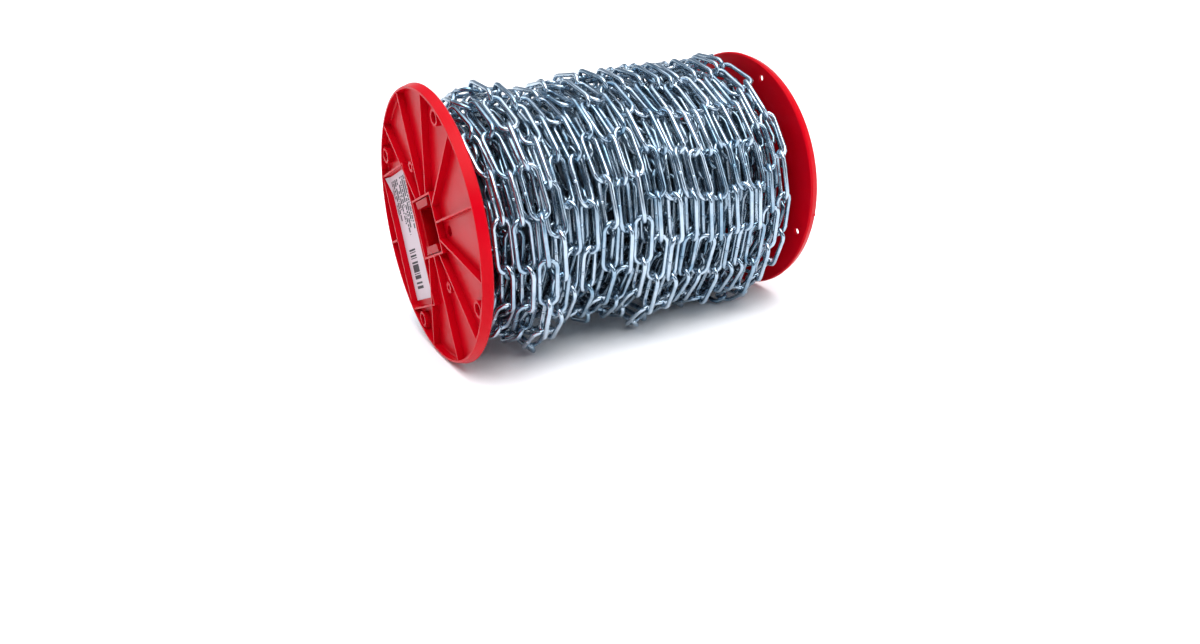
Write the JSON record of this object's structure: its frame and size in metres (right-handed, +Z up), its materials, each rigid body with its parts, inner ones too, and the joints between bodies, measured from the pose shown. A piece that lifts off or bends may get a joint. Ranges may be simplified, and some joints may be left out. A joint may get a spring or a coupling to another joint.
{
  "type": "reel of long-link steel chain",
  "caption": "Two-flange plastic reel with a square axle bore, wound full with zinc-plated long-link steel chain and lying on its rims.",
  "frame": {"origin": "on the floor plane, below the middle of the reel: centre of the bounding box's bottom face", "axes": "+X along the reel's axle, from the labelled flange to the plain one; +Z up; -Y is the side the picture is taken from"},
  "size_m": [0.2224, 0.16, 0.16],
  "materials": {
    "red_plastic": "glossy moulded red",
    "barrel_plastic": "moulded red, a little duller",
    "zinc_plated_steel": "bright zinc plating with a bluish tone",
    "label_paper": "white coated paper"
  },
  "bodies": {
    "root": {"left_flange": "red_plastic", "right_flange": "red_plastic", "barrel": "barrel_plastic", "label": "label_paper", "chain_winding": "zinc_plated_steel"}
  },
  "joints": []
}
